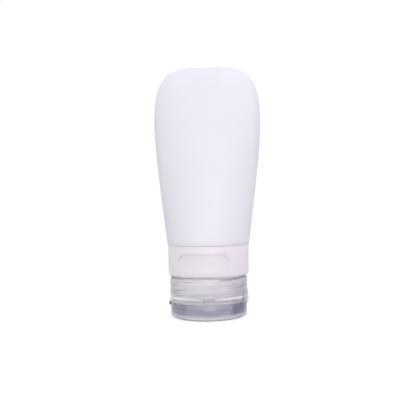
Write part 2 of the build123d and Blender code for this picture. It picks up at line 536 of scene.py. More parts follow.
class Paint:
    """A node tree being built: a material or the world."""

    cloud_floor: float = 0.3
    cloud_gain: float = 2.2

    def __init__(self, owner: Any) -> None:
        """Empties the node tree of a material or world."""
        self.owner = owner
        owner.use_nodes = True
        self.tree = owner.node_tree
        self.tree.nodes.clear()

    def node(self, kind: str, settings: Settings = None, sockets: Sockets = None) -> Any:
        """Adds a node.

        Args:
            kind: The node's type.
            settings: Its settings, which are set first.
            sockets: Values, wires or sockets for its inputs, by name or number.

        Returns:
            The node.
        """
        made = self.tree.nodes.new(kind)
        for key, value in (settings or {}).items():
            setattr(made, key, value)
        for key, value in (sockets or {}).items():
            source = value.socket if isinstance(value, Wire) else value
            if isinstance(source, bpy.types.NodeSocket):
                self.tree.links.new(source, made.inputs[key])
            else:
                made.inputs[key].default_value = source
        return made

    def wire(self, kind: str, output: Any, sockets: Sockets = None) -> Wire:
        """Adds a node and returns one of its outputs as a wire."""
        return Wire(self, self.node(kind, None, sockets).outputs[output])

    def place(self) -> Wire:
        """Object coordinates, in metres."""
        return self.wire("ShaderNodeTexCoord", "Object")

    def axes(self, vector: Wire | None = None) -> list[Wire]:
        """X, Y and Z of a vector, or else of the object coordinates."""
        split = self.node("ShaderNodeSeparateXYZ", None, {0: vector or self.place()})
        return [Wire(self, socket) for socket in split.outputs]

    def noise(self, per_metre: float, detail: float = 2.0, stretch: Spot = (1, 1, 1)) -> Wire:
        """Noise over the piece.

        Args:
            per_metre: How many features there are in a metre.
            detail: How fine it goes.
            stretch: How much the pattern is squeezed along each axis.

        Returns:
            Values around a half.
        """
        spot = self.wire("ShaderNodeMapping", 0, {"Vector": self.place(), "Scale": stretch})
        values = {"Vector": spot, "Scale": per_metre, "Detail": detail}
        return self.wire("ShaderNodeTexNoise", "Fac", values)

    def clouds(self, pattern: Wire, pale: Colour, deep: Colour) -> bpy.types.NodeSocket:
        """Drifts between two colours as a noise does."""
        return self.blend((pattern - self.cloud_floor) * self.cloud_gain, pale, deep)

    def blend(self, share: Any, first: Any, second: Any) -> bpy.types.NodeSocket:
        """Mixes two colours."""
        colours = {0: share, 6: opaque(first), 7: opaque(second)}
        return self.node("ShaderNodeMix", {"data_type": "RGBA"}, colours).outputs[2]

    def bump(self, height: Any, depth: float, strength: float) -> Wire:
        """A bump from a height, as deep as depth in millimetres."""
        values = {"Height": height, "Distance": depth * MM, "Strength": strength}
        return self.wire("ShaderNodeBump", 0, values)

    def shader(self, kind: str, sockets: Sockets) -> bpy.types.NodeSocket:
        """Adds a shader node and returns its output."""
        return self.node(kind, None, sockets).outputs[0]

    def surface(self, shader: bpy.types.NodeSocket) -> Any:
        """Links a shader to the output and returns the material or world."""
        kind = "World" if isinstance(self.owner, bpy.types.World) else "Material"
        self.node(f"ShaderNodeOutput{kind}", None, {"Surface": shader})
        return self.owner

    def principled(self, sockets: dict[str, Any]) -> Any:
        """Finishes the material with a Principled shader and returns it."""
        return self.surface(self.shader("ShaderNodeBsdfPrincipled", sockets))


def opaque(colour: Any) -> Any:
    """Gives a plain colour its alpha, and leaves a link as it is."""
    return (*colour, 1.0) if isinstance(colour, tuple) else colour


@dataclass(frozen=True)
class SoftFinish:
    """Satin silicone, thick and milky or thin and clearer, sizes in millimetres."""

    name: str
    pale: Colour
    deep: Colour
    roughness: float = 0.46
    roughness_spread: float = 0.18
    see_through: float = 0.0
    scatter: float = 0.5
    scatter_depth: float = 3.0
    scatter_tint: Colour = (1.0, 0.95, 1.0)
    index: float = 1.41
    # The edge colour and the two sizes after it paint shade along the flanks near y = 0, a darker outline
    # at the silhouettes.
    edge: Colour = (0.66, 0.62, 0.70)
    flank_shade_reach: float = 3.2
    flank_shade_share: float = 0.0
    parting_half: float = 0.16
    relief: float = 0.02
    relief_strength: float = 0.8

    def material(self) -> bpy.types.Material:
        """Cloudy colour, fine grain, a faint parting line on the sides and painted shade along them.

        Returns:
            The material.
        """
        paint = Paint(bpy.data.materials.new(self.name))
        cloud = paint.noise(45, 3, (1, 1, 0.6))
        grain = paint.noise(5200, 2)
        mottle = paint.noise(420, 3)
        _, y, _ = paint.axes()
        parting = abs(y).ramp(self.parting_half, 0)
        height = grain * 0.5 + mottle * 0.8 + parting * 1.4
        # Painted shade: darker towards the flanks near y = 0, standing in for the dark outline at the
        # silhouettes.
        painted_flank_shade = abs(y).ramp(self.flank_shade_reach, 0).eased() * self.flank_shade_share
        tint = paint.clouds(cloud, self.pale, self.deep)
        return paint.principled(
            {
                "Base Color": paint.blend(painted_flank_shade, tint, self.edge),
                "Roughness": self.roughness + (mottle - 0.5) * self.roughness_spread,
                "Normal": paint.bump(height, self.relief, self.relief_strength),
                "IOR": self.index,
                "Transmission Weight": self.see_through,
                "Subsurface Weight": self.scatter,
                "Subsurface Radius": self.scatter_tint,
                "Subsurface Scale": self.scatter_depth * MM,
            }
        )


@dataclass(frozen=True)
class FrostFinish:
    """Frosted white plastic that lets some light through, sizes in millimetres."""

    name: str
    pale: Colour
    deep: Colour
    roughness: float
    see_through: float
    scatter: float
    roughness_spread: float = 0.22
    scatter_depth: float = 1.5
    index: float = 1.49
    # The neck colour paints the neck paler under its end level: painted light, for the light that reaches
    # it through the clear cap.
    neck: Colour | None = None
    neck_end: float = 22.4
    neck_fade: float = 0.3
    # The edge colour and the two sizes after it paint shade along the flanks near y = 0.
    edge: Colour = (0.70, 0.65, 0.73)
    flank_shade_reach: float = 6.0
    flank_shade_share: float = 0.0
    relief: float = 0.01
    relief_strength: float = 0.7

    def material(self) -> bpy.types.Material:
        """Faint flow bands, a satin mould texture, rubbed patches, painted shade along the flanks and a
        neck painted paler, which is painted light.

        Returns:
            The material.
        """
        paint = Paint(bpy.data.materials.new(self.name))
        flow = paint.noise(60, 3, (1, 1, 0.25))
        rubbed = paint.noise(160, 4)
        texture = paint.noise(6500, 1)
        _, y, z = paint.axes()
        # Painted shade: darker towards the flanks near y = 0, standing in for the dark outline at the
        # silhouettes.
        painted_flank_shade = abs(y).ramp(self.flank_shade_reach, 0).eased() * self.flank_shade_share
        tint = paint.blend(painted_flank_shade, paint.clouds(flow, self.pale, self.deep), self.edge)
        # Painted light: the neck paler under its end level, for the light that reaches it through the clear
        # cap.
        if self.neck:
            neck_painted_light = z.ramp(self.neck_end, self.neck_end - self.neck_fade)
            tint = paint.blend(neck_painted_light, tint, self.neck)
        return paint.principled(
            {
                "Base Color": tint,
                "Roughness": self.roughness + (rubbed - 0.5) * self.roughness_spread,
                "Normal": paint.bump(texture + flow * 0.6, self.relief, self.relief_strength),
                "IOR": self.index,
                "Transmission Weight": self.see_through,
                "Subsurface Weight": self.scatter,
                "Subsurface Radius": (1.0, 1.0, 1.0),
                "Subsurface Scale": self.scatter_depth * MM,
            }
        )


@dataclass(frozen=True)
class ClearFinish:
    """Clear moulded plastic, more satin in a band of levels, with painted shade in that band, deeper at the
    hinge and tab sides, and towards the flanks, sizes in millimetres.
    """

    name: str
    pale: Colour
    deep: Colour
    # The thick, hinge and side colours are painted shade: a darker band of levels, darker still at the
    # hinge and tab sides, and darker flanks. The sizes after them place that shade.
    thick: Colour
    hinge: Colour
    roughness: float
    shade_and_satin_low: Fade
    shade_and_satin_high: Fade
    hinge_side: Fade = (13.5, 15.5)
    tab_shade_side: Fade = (-8.5, -10.5)
    tab_shade_share: float = 0.55
    thick_roughness: float = 0.16
    clarity: float = 0.7
    index: float = 1.49
    side: Colour | None = None
    side_shade_reach: Fade = (11.0, 19.5)
    gate: float = 0.0
    gate_rise: float = 1.6
    wear_start: float = 0.56
    wear_gain: float = 9.0
    wear_roughness: float = 0.1
    relief: float = 0.04
    relief_strength: float = 0.5

    def material(self) -> bpy.types.Material:
        """Painted shade in a band of levels, at the hinge and tab sides and on the flanks, hairline wear in
        the gloss and slight ripples.

        Returns:
            The material.
        """
        paint = Paint(bpy.data.materials.new(self.name))
        x, y, z = paint.axes()
        # Painted shade: a band of levels, deepest at the hinge side and partly at the tab side, standing in
        # for the hinge's shadow and the darkness seen through the plastic.
        thick = z.ramp(*self.shade_and_satin_low) * z.ramp(*self.shade_and_satin_high)
        ends = x.ramp(*self.hinge_side).larger(x.ramp(*self.tab_shade_side) * self.tab_shade_share)
        drift = paint.noise(70, 2)
        hairlines = paint.noise(900, 3, (1, 1, 0.04))
        worn = ((hairlines - self.wear_start) * self.wear_gain).clamped()
        height = paint.noise(260, 2)
        if self.gate:
            away = (x * x + y * y) / (self.gate * MM) ** 2
            height = height + (1 - away).clamped() * self.gate_rise
        tint = paint.clouds(drift, self.pale, self.deep)
        # Painted shade: darker towards the left and right flanks.
        if self.side:
            tint = paint.blend(abs(x).ramp(*self.side_shade_reach), tint, self.side)
        satin = self.roughness + thick * (self.thick_roughness - self.roughness)
        return paint.principled(
            {
                "Base Color": paint.blend(thick, tint, paint.blend(ends, self.thick, self.hinge)),
                "Roughness": satin + worn * self.wear_roughness,
                "Normal": paint.bump(height, self.relief, self.relief_strength),
                "IOR": self.index,
                "Transmission Weight": self.clarity,
            }
        )


# Sub-assemblies, sizes in millimetres


def open_edges(piece: bpy.types.Object) -> int:
    """Counts the edges at which the mesh isn't closed."""
    shape = bmesh.new()
    shape.from_mesh(piece.data)
    count = sum(not edge.is_manifold for edge in shape.edges)
    shape.free()
    return count


def hand_over(
    piece: bpy.types.Object, body: Body, node: str, finish: SoftFinish | FrostFinish | ClearFinish
) -> None:
    """Gives a finished piece its material and body, and hides the CAD node that it stands for.

    Args:
        piece: The finished piece.
        body: Body it rides on.
        node: CAD node that it stands for.
        finish: Its finish.
    """
    piece.data.materials.clear()
    piece.data.materials.append(finish.material())
    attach(piece, body.value)
    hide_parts(node)
    gaps = open_edges(piece)
    if gaps:
        LOG.warning("%s has %d open edges", piece.name, gaps)
    LOG.info("%s: %d faces, rides on %s", piece.name, len(piece.data.polygons), body.value)


@dataclass(frozen=True)
class Levels:
    """Heights and radii that neighbours share, each a driving size or worked out from those above it."""

    # Driving heights of the stack, from the standing face up
    lid_height: float = 8.4
    parting_gap: float = 0.15
    cap_height: float = 13.35
    collar_gap: float = 0.6
    band_height: float = 16.7
    flange_thickness: float = 1.6
    deck_recess: float = 1.65
    deck_thickness: float = 1.6
    spout_length: float = 5.0
    seat_gap: float = 0.05
    seal_thickness: float = 1.1
    lip_thickness: float = 1.1

    # Levels that follow from them
    hinge_level: float = lid_height + parting_gap / 2
    cap_bottom: float = lid_height + parting_gap
    cap_top: float = cap_bottom + cap_height
    band_bottom: float = cap_top + collar_gap
    band_top: float = band_bottom + band_height
    flange_top: float = band_bottom + flange_thickness
    deck_low: float = cap_bottom + deck_recess
    deck_high: float = deck_low + deck_thickness
    spout_tip: float = deck_low - spout_length
    seal_low: float = deck_high + seat_gap
    seal_high: float = seal_low + seal_thickness
    mouth: float = seal_high + seat_gap
    rim: float = mouth + lip_thickness

    # Driving radii, walls and clearances
    band_radius: float = 22.2
    band_wall: float = 1.4
    ring_gap: float = 0.25
    ring_thickness: float = 1.05
    cap_setback: float = 1.0
    lid_setback: float = 0.4
    hinge_setback: float = 0.9
    skirt_wall: float = 1.45
    neck_clearance: float = 0.95
    neck_wall: float = 2.2
    tube_fit: float = 0.1
    tube_wall: float = 2.2
    valve_radius: float = 8.2
    valve_fit: float = 0.2
    pin_radius: float = 0.8
    knuckle_radius: float = 1.8
    knuckle_half: float = 3.9
    knuckle_end_gap: float = 0.2
    ear_length: float = 4.0

    # Radii and reaches that follow from them
    band_inside: float = band_radius - band_wall
    ring_outside: float = band_inside - ring_gap
    ring_inside: float = ring_outside - ring_thickness
    cap_radius: float = band_radius - cap_setback
    lid_radius: float = cap_radius - lid_setback
    hinge_reach: float = lid_radius - hinge_setback
    skirt_inside: float = cap_radius - skirt_wall
    neck_radius: float = skirt_inside - neck_clearance
    collar_bore: float = neck_radius - neck_wall
    tube_radius: float = collar_bore - tube_fit
    mouth_radius: float = tube_radius - tube_wall
    boss_inside: float = valve_radius + valve_fit
    ear_start: float = knuckle_half + knuckle_end_gap
    ear_end: float = ear_start + ear_length

    @property
    def hinge_axis(self) -> Corner:
        """X and Z of the hinge's axis."""
        return self.hinge_reach, self.hinge_level


@dataclass
class SqueezeBody:
    """Silicone shell with its seat, neck tube and rolled mouth lip."""

    levels: Levels
    proud: float = 0.2
    radius: float = Levels.band_radius + proud
    wall: float = 2.4
    height: float = 96.8
    width_taper: float = 0.124
    depth_taper: float = 0.132
    width_powers: tuple[float, float] = (4.6, 4.0)
    depth_powers: tuple[float, float] = (10.0, 2.2)
    squareness_gain: float = 0.7
    seam_lift: float = 0.05
    seam_rounding: float = 0.15
    seat_clearance: float = 0.3
    seat_radius: float = Levels.ring_inside - seat_clearance
    seat_wall: float = 2.2
    seat_lift: float = 0.05
    throat_radius: float = seat_radius - seat_wall
    throat_length: float = 5.0
    lip_setback: float = 0.3
    lip_lift: float = 0.02
    lip_rounding: float = 0.3
    outer_rings: int = 84
    outer_end: float = 0.99985
    inner_rings: int = 56
    inner_end: float = 0.9985
    crowding: float = 2.6
    sharp_degrees: float = 40.0
    # The share given here paints shade along the body's flanks, a darker outline at its silhouettes.
    finish: SoftFinish = SoftFinish("silicone", (0.865, 0.855, 0.925), (0.835, 0.82, 0.90), flank_shade_share=0.4)

    def ring(self, level: float, share: float, inset: float) -> Ring:
        """One section of the body.

        Args:
            level: Height of the section.
            share: How far up the body it is, from 0 to 1.
            inset: How far it is inside the outer skin.

        Returns:
            The section.
        """
        rise = share * self.height
        width = self.radius + self.width_taper * rise
        depth = self.radius - self.depth_taper * rise
        width *= (1 - share ** self.width_powers[0]) ** (1 / self.width_powers[1])
        depth *= (1 - share ** self.depth_powers[0]) ** (1 / self.depth_powers[1])
        return Ring(level, width - inset, depth - inset, OVAL + self.squareness_gain * share)

    def skin(self, low: float, high: float, inset: float, count: int, last: float) -> list[Ring]:
        """Sections from the collar's end to the closed end.

        Args:
            low: Level of the first.
            high: Level of the closed end.
            inset: How far they are inside the outer skin.
            count: How many steps.
            last: Share of the way at which the rings stop.

        Returns:
            The sections, closer together towards the closed end.
        """
        made = []
        for step in range(count + 1):
            share = last * (1 - (1 - step / count) ** self.crowding)
            level = low + (high - low) * share
            start = (low - self.levels.band_top) / self.height
            made.append(self.ring(level, start + (1 - start) * share, inset))
        return made

    def build(self) -> None:
        """Models the shell from its inner pole, out through the mouth, to its outer pole."""
        at = self.levels
        floor = at.band_top + self.throat_length
        top = at.band_top + self.height
        inner = self.skin(floor, top - self.wall, self.wall, self.inner_rings, self.inner_end)[::-1]
        lip = at.neck_radius - self.lip_setback
        lip_back = at.rim - self.lip_lift
        seat = at.flange_top + self.seat_lift
        shoulder = at.band_top + self.seam_lift
        tube = rounds(
            [
                (self.throat_radius, at.band_top),
                (self.throat_radius, at.flange_top + self.throat_radius - at.mouth_radius),
                (at.mouth_radius, at.flange_top),
                (at.mouth_radius, at.mouth),
                (lip, at.mouth),
                (lip, lip_back),
                (at.tube_radius, lip_back),
                (at.tube_radius, seat),
                (self.seat_radius, seat),
                (self.seat_radius, shoulder),
                (self.radius, shoulder),
            ]
        )
        outer = self.skin(at.band_top, top, 0.0, self.outer_rings, self.outer_end)[1:]
        pole = Ring(top, 0, 0)
        piece = stack_rings("squeeze_shell", [*inner, *tube, *outer, pole])
        soften(piece, [(self.radius, shoulder)], self.seam_rounding, segments=4)
        mouth = [(at.mouth_radius, at.mouth), (lip, at.mouth), (lip, lip_back)]
        soften(piece, mouth, self.lip_rounding)
        smooth(piece, self.sharp_degrees)
        hand_over(piece, Body.BOTTLE, "squeeze_body", self.finish)


@dataclass
class Collar:
    """Rigid ring with the threaded neck and the windowed band."""

    levels: Levels
    draft: float = 0.25
    end_rounding: float = 1.5
    seam_rounding: float = 0.1
    window_width: float = 26.6
    window_height: float = 8.2
    window_corner: float = 3.7
    window_depth: float = 0.6
    window_overrun: float = 3.0
    core_half: float = 8.0
    neck_chamfer: float = 0.4
    thread_spacing: float = 0.13
    thread_end_gap: float = 0.2
    thread: Thread = Thread(crest_level=17.6, low=15.1, high=21.4, depth=0.62)
    sharp_degrees: float = 35.0
    # The share given in this finish paints shade along the band's flanks, a darker outline at its
    # silhouettes.
    finish: FrostFinish = FrostFinish(
        "collar_frost",
        pale=(0.92, 0.86, 0.94),
        deep=(0.895, 0.83, 0.915),
        roughness=0.38,
        see_through=0.04,
        scatter=0.3,
        # A neck painted paler: painted light, for the light that reaches it through the clear cap.
        neck=(0.965, 0.94, 0.985),
        flank_shade_share=0.4,
    )

    def window_cutter(self) -> bpy.types.Object:
        """A rounded slab whose inner face follows the band.

        Returns:
            The cutter.
        """
        at = self.levels
        middle = (at.band_bottom + at.band_top) / 2
        side, half = self.window_width / 2, self.window_height / 2
        low = (-side, -at.band_radius - self.window_overrun, middle - half)
        high = (side, -at.band_radius / 2, middle + half)
        slab = box("window_slab", low, high)
        bpy.ops.object.mode_set(mode="EDIT")
        bpy.ops.mesh.select_mode(type="EDGE")
        bpy.ops.mesh.select_all(action="DESELECT")
        shape = bmesh.from_edit_mesh(slab.data)
        for edge in shape.edges:
            run = edge.verts[0].co - edge.verts[1].co
            edge.select = abs(run.y) > abs(run.x) + abs(run.z)
        bmesh.update_edit_mesh(slab.data)
        bpy.ops.mesh.bevel(offset=self.window_corner * MM, segments=12, affect="EDGES")
        bpy.ops.object.mode_set(mode="OBJECT")
        inside = at.band_radius - self.window_depth
        ends = [(inside, middle - self.core_half), (inside, middle + self.core_half)]
        carve(slab, stack_rings("window_core", rounds(ends)), Cut.REMOVE)
        return slab

    def build(self) -> None:
        """Models the ring, raises its thread and recesses the window."""
        at = self.levels
        low_radius = at.band_radius - self.draft
        neck_low = at.rim + self.neck_chamfer
        between = levels_between(neck_low, at.band_bottom, self.thread_spacing)
        profile = [
            (at.collar_bore, at.rim),
            (at.neck_radius - self.neck_chamfer, at.rim),
            (at.neck_radius, neck_low),
            *((at.neck_radius, level) for level in between),
            (at.neck_radius, at.band_bottom),
            (low_radius, at.band_bottom),
            (at.band_radius, at.band_top),
            (at.band_inside, at.band_top),
            (at.band_inside, at.flange_top),
            (at.collar_bore, at.flange_top),
        ]
        piece = stack_rings("collar_band", rounds(profile), closed=True)
        soften(piece, [(low_radius, at.band_bottom)], self.end_rounding, segments=7)
        soften(piece, [(at.band_radius, at.band_top)], self.seam_rounding)
        neck_high = at.band_bottom - self.thread_end_gap
        self.thread.raise_on(piece, at.neck_radius, neck_low, neck_high, Side.OUTWARD)
        carve(piece, self.window_cutter(), Cut.REMOVE)
        smooth(piece, self.sharp_degrees)
        hand_over(piece, Body.BOTTLE, "collar", self.finish)


@dataclass
class LabelRing:
    """Plain ring that turns behind the window."""

    levels: Levels
    end_gap: float = 0.15
    edge: float = 0.2
    finish: FrostFinish = FrostFinish(
        "label_white",
        pale=(0.84, 0.825, 0.89),
        deep=(0.81, 0.79, 0.87),
        roughness=0.42,
        see_through=0.0,
        scatter=0.35,
    )

    def build(self) -> None:
        """Models the ring with softened ends."""
        at = self.levels
        low = at.flange_top + self.end_gap
        high = at.band_top - self.end_gap
        piece = flat_ring("turning_ring", at.ring_inside, at.ring_outside, low, high)
        soften(piece, [(at.ring_outside, low), (at.ring_outside, high)], self.edge, segments=2)
        smooth(piece)
        hand_over(piece, Body.RING, "label_ring", self.finish)


@dataclass
class CapSeal:
    """Flat sealing ring between the deck and the mouth's lip."""

    levels: Levels
    mouth_setback: float = 0.3
    inside: float = Levels.mouth_radius + mouth_setback
    side_clearance: float = 0.35
    outside: float = Levels.skirt_inside - side_clearance
    edge: float = 0.2
    finish: SoftFinish = SoftFinish(
        "seal_white",
        pale=(0.80, 0.79, 0.86),
        deep=(0.77, 0.755, 0.83),
        roughness=0.5,
        scatter=0.4,
        scatter_depth=1.0,
    )

    def build(self) -> None:
        """Models the ring with softened edges."""
        low, high = self.levels.seal_low, self.levels.seal_high
        piece = flat_ring("mouth_gasket", self.inside, self.outside, low, high)
        corners = [(radius, level) for radius in (self.inside, self.outside) for level in (low, high)]
        soften(piece, corners, self.edge, segments=2)
        smooth(piece)
        hand_over(piece, Body.SEAL, "cap_seal", self.finish)


@dataclass
class ScrewCap:
    """Clear cap: threaded skirt, deck, spout, valve boss, hinge ears and thumb scoop."""

    levels: Levels
    spout_radius: float = 3.9
    tip_radius: float = 3.4
    bore_radius: float = 2.4
    boss_wall: float = 1.2
    boss_outside: float = Levels.boss_inside + boss_wall
    boss_height: float = 2.6
    bore_chamfer: float = 0.3
    end_rounding: float = 1.1
    rim_rounding: float = 0.3
    small_edge: float = 0.12
    deck_fillet: float = 0.7
    ear_proud: float = 0.8
    ear_reach: float = Levels.cap_radius + ear_proud
    ear_levels: Corner = (4.0, 13.0)
    notch_clearance: float = 0.95
    pin_fit: float = 0.02
    pin_bore: float = Levels.pin_radius + pin_fit
    bore_overrun: float = 2.0
    shoulder_root: float = 0.7
    shoulder_step: float = 0.02
    shoulder_proud: float = 0.6
    shoulder_rises: tuple[float, float, float] = (2.7, 4.4, 6.6)
    shoulder_rounding: float = 0.5
    shoulder_setback: float = 0.11
    shoulder_start: float = 10.0
    shoulder_levels: Corner = (5.0, 18.0)
    scoop_radius: float = 14.0
    scoop_depth: float = 0.7
    scoop_height: float = 3.2
    scoop_segments: int = 256
    thread_spacing: float = 0.13
    thread_start_gap: float = 0.2
    thread_end_gap: float = 0.1
    thread: Thread = Thread(
        crest_level=19.7, low=14.3, high=20.6, depth=0.42, crest_half=0.15, root_half=1.25
    )
    sharp_degrees: float = 35.0
    # Painted shadow: the hinge colour darkens the hinge side of the lower band, for the shadow in the
    # hinge's recess, and the side colour darkens the flanks.
    finish: ClearFinish = ClearFinish(
        "cap_clear",
        pale=(0.99, 0.965, 1.0),
        deep=(0.975, 0.95, 1.0),
        thick=(0.985, 0.96, 1.0),
        hinge=(0.80, 0.78, 0.86),
        shade_and_satin_low=(6.0, 7.0),
        shade_and_satin_high=(12.2, 11.6),
        tab_shade_side=(-30.0, -31.0),
        roughness=0.14,
        thick_roughness=0.16,
        clarity=0.76,
        side=(0.80, 0.775, 0.85),
    )

    def hinge_side(self) -> bpy.types.Object:
        """The shoulder and the two ears, trimmed to their reach.

        Returns:
            One solid to join to the skirt.
        """
        at = self.levels
        inner = at.skirt_inside + self.shoulder_root
        outer = at.cap_radius + self.shoulder_proud
        low, high, end = (at.hinge_level + rise for rise in self.shoulder_rises)
        profile = [
            (inner, at.cap_bottom),
            (at.cap_radius + self.shoulder_step, at.cap_bottom),
            (outer, low),
            (outer, high),
            (at.cap_radius, end),
            (inner, end),
        ]
        shoulder = stack_rings("shoulder", rounds(profile), closed=True)
        soften(shoulder, [(outer, low), (outer, high)], self.shoulder_rounding, segments=4)
        half = at.ear_end - self.shoulder_setback
        floor, roof = self.shoulder_levels
        keep = box("shoulder_keep", (self.shoulder_start, -half, floor), (FAR, half, roof))
        carve(shoulder, keep, Cut.KEEP_SHARED)
        for side in (-1, 1):
            near, far = sorted((side * at.ear_start, side * at.ear_end))
            ear = barrel("ear", at.knuckle_radius, at.hinge_axis, near, far)
            trim = stack_rings("ear_trim", rounds((self.ear_reach, level) for level in self.ear_levels))
            carve(ear, trim, Cut.KEEP_SHARED)
            carve(shoulder, ear, Cut.JOIN)
        return shoulder

    def hollows(self) -> bpy.types.Object:
        """The knuckle's notch, the pin's bore and the thumb scoop.

        Returns:
            One solid to remove from the cap.
        """
        at = self.levels
        radius = at.knuckle_radius + self.notch_clearance
        notch = barrel("notch", radius, at.hinge_axis, -at.ear_start, at.ear_start)
        end = at.ear_end + self.bore_overrun
        carve(notch, barrel("pin_bore", self.pin_bore, at.hinge_axis, -end, end), Cut.JOIN)
        deselect()
        reach = at.cap_radius + self.scoop_radius - self.scoop_depth
        bpy.ops.mesh.primitive_uv_sphere_add(
            segments=self.scoop_segments,
            ring_count=self.scoop_segments // 2,
            radius=self.scoop_radius * MM,
            location=(-reach * MM, 0, (at.cap_bottom + self.scoop_height) * MM),
        )
        carve(notch, fix_place("scoop"), Cut.JOIN)
        return notch

    def build(self) -> None:
        """Models the turned cap with its thread, then adds the hinge and cuts the hollows."""
        at = self.levels
        tip = at.spout_tip
        boss_top = at.deck_high + self.boss_height
        between = levels_between(at.deck_high, at.cap_top, self.thread_spacing)
        profile = [
            (self.bore_radius + self.bore_chamfer, tip),
            (self.tip_radius, tip),
            (self.spout_radius, at.deck_low),
            (at.skirt_inside, at.deck_low),
            (at.skirt_inside, at.cap_bottom),
            (at.cap_radius, at.cap_bottom),
            (at.cap_radius, at.cap_top),
            (at.skirt_inside, at.cap_top),
            *((at.skirt_inside, level) for level in between[::-1]),
            (at.skirt_inside, at.deck_high),
            (self.boss_outside, at.deck_high),
            (self.boss_outside, boss_top),
            (at.boss_inside, boss_top),
            (at.boss_inside, at.deck_high),
            (self.bore_radius, at.deck_high),
            (self.bore_radius, tip + self.bore_chamfer),
        ]
        piece = stack_rings("cap_shell", rounds(profile), closed=True)
        soften(piece, [(at.cap_radius, at.cap_top)], self.end_rounding, segments=6)
        soften(piece, [(at.cap_radius, at.cap_bottom)], self.rim_rounding)
        soften(piece, [(at.skirt_inside, at.deck_low)], self.deck_fillet, segments=5)
        soften(piece, [(self.spout_radius, at.deck_low)], self.deck_fillet, segments=5)
        small = [
            (at.skirt_inside, at.cap_bottom),
            (self.tip_radius, tip),
            (self.boss_outside, boss_top),
            (at.boss_inside, boss_top),
        ]
        soften(piece, small, self.small_edge, segments=2)
        low = at.deck_high + self.thread_start_gap
        self.thread.raise_on(piece, at.skirt_inside, low, at.cap_top - self.thread_end_gap, Side.INWARD)
        carve(piece, self.hinge_side(), Cut.JOIN)
        carve(piece, self.hollows(), Cut.REMOVE)
        smooth(piece, self.sharp_degrees)
        hand_over(piece, Body.CAP, "screw_cap", self.finish)


@dataclass
class HingePin:
    """Straight pin through both ears and the knuckle."""

    levels: Levels
    end_gap: float = 0.2
    end_rounding: float = 0.15
    finish: FrostFinish = FrostFinish(
        "pin_pale",
        pale=(0.66, 0.64, 0.72),
        deep=(0.61, 0.59, 0.67),
        roughness=0.25,
        see_through=0.5,
        scatter=0.0,
    )

    def build(self) -> None:
        """Models the pin with softened ends."""
        at = self.levels
        end = at.ear_end - self.end_gap
        piece = barrel("hinge_rod", at.pin_radius, at.hinge_axis, -end, end)
        bpy.ops.object.mode_set(mode="EDIT")
        pick(piece, Part.FACES, lambda spot: abs(abs(spot.y) - end) < NEAR_MM)
        bpy.ops.mesh.bevel(offset=self.end_rounding * MM, segments=3, affect="EDGES")
        bpy.ops.object.mode_set(mode="OBJECT")
        smooth(piece)
        hand_over(piece, Body.CAP, "hinge_pin", self.finish)


@dataclass
class DripValve:
    """Silicone valve: flange, domed middle and crossed slit."""

    levels: Levels
    flange: float = 1.0
    dome_radius: float = 3.6
    dome_rise: float = 1.5
    wall: float = 0.8
    slit_length: float = 3.6
    slit_width: float = 0.15
    edge: float = 0.15
    arc_steps: int = 14
    finish: SoftFinish = SoftFinish(
        "valve_soft",
        pale=(0.80, 0.79, 0.86),
        deep=(0.77, 0.755, 0.83),
        roughness=0.32,
        see_through=0.45,
        scatter=0.2,
        scatter_depth=1.0,
    )

    def arc(self, base: float, rise: float, start: float) -> list[Corner]:
        """Corners of a dome from its pole down to its base.

        Args:
            base: Radius of its base.
            rise: How far it rises.
            start: Level of its base.

        Returns:
            (radius, level) corners, without the pole.
        """
        ball = (base * base + rise * rise) / (2 * rise)
        widest = math.asin(base / ball)
        spots = []
        for step in range(1, self.arc_steps + 1):
            angle = widest * step / self.arc_steps
            spots.append((ball * math.sin(angle), start + rise - ball * (1 - math.cos(angle))))
        return spots

    def build(self) -> None:
        """Models the valve from the hollow's pole to the dome's pole, then cuts the slit."""
        at = self.levels
        low = at.seal_low
        flange_top = low + self.flange
        rise = self.flange + self.dome_rise
        hollow = self.arc(self.dome_radius - self.wall, rise - self.wall, low)
        dome = self.arc(self.dome_radius, self.dome_rise, flange_top)[::-1]
        rim = [(at.valve_radius, low), (at.valve_radius, flange_top)]
        rings = [*rounds([*hollow, *rim, *dome]), Ring(low + rise, 0, 0)]
        piece = stack_rings("slit_valve", rings, sides=VALVE_SIDES)
        soften(piece, rim, self.edge, segments=2)
        long, thin = self.slit_length / 2, self.slit_width / 2
        under, over = low - OVERRUN, low + rise + OVERRUN
        cross = box("slit", (-long, -thin, under), (long, thin, over))
        carve(cross, box("slit", (-thin, -long, under), (thin, long, over)), Cut.JOIN)
        carve(piece, cross, Cut.REMOVE)
        smooth(piece)
        hand_over(piece, Body.CAP, "drip_valve", self.finish)


@dataclass
class ValveRetainer:
    """Ring pressed into the boss over the valve's flange."""

    levels: Levels
    bore: float = 4.6
    fit: float = 0.1
    outside: float = Levels.boss_inside - fit
    height: float = 1.4
    lift: float = 1.05
    chamfer: float = 0.4
    edge: float = 0.12
    finish: FrostFinish = FrostFinish(
        "retainer_white",
        pale=(0.78, 0.77, 0.83),
        deep=(0.74, 0.725, 0.79),
        roughness=0.4,
        see_through=0.1,
        scatter=0.1,
    )

    def build(self) -> None:
        """Models the ring with its lead-in chamfer."""
        low = self.levels.seal_low + self.lift
        high = low + self.height
        profile = [
            (self.bore, low),
            (self.outside, low),
            (self.outside, high),
            (self.bore + self.chamfer, high),
            (self.bore, high - self.chamfer),
        ]
        piece = stack_rings("valve_keeper", rounds(profile), closed=True, sides=VALVE_SIDES)
        soften(piece, profile[1:3], self.edge, segments=2)
        smooth(piece)
        hand_over(piece, Body.CAP, "valve_retainer", self.finish)


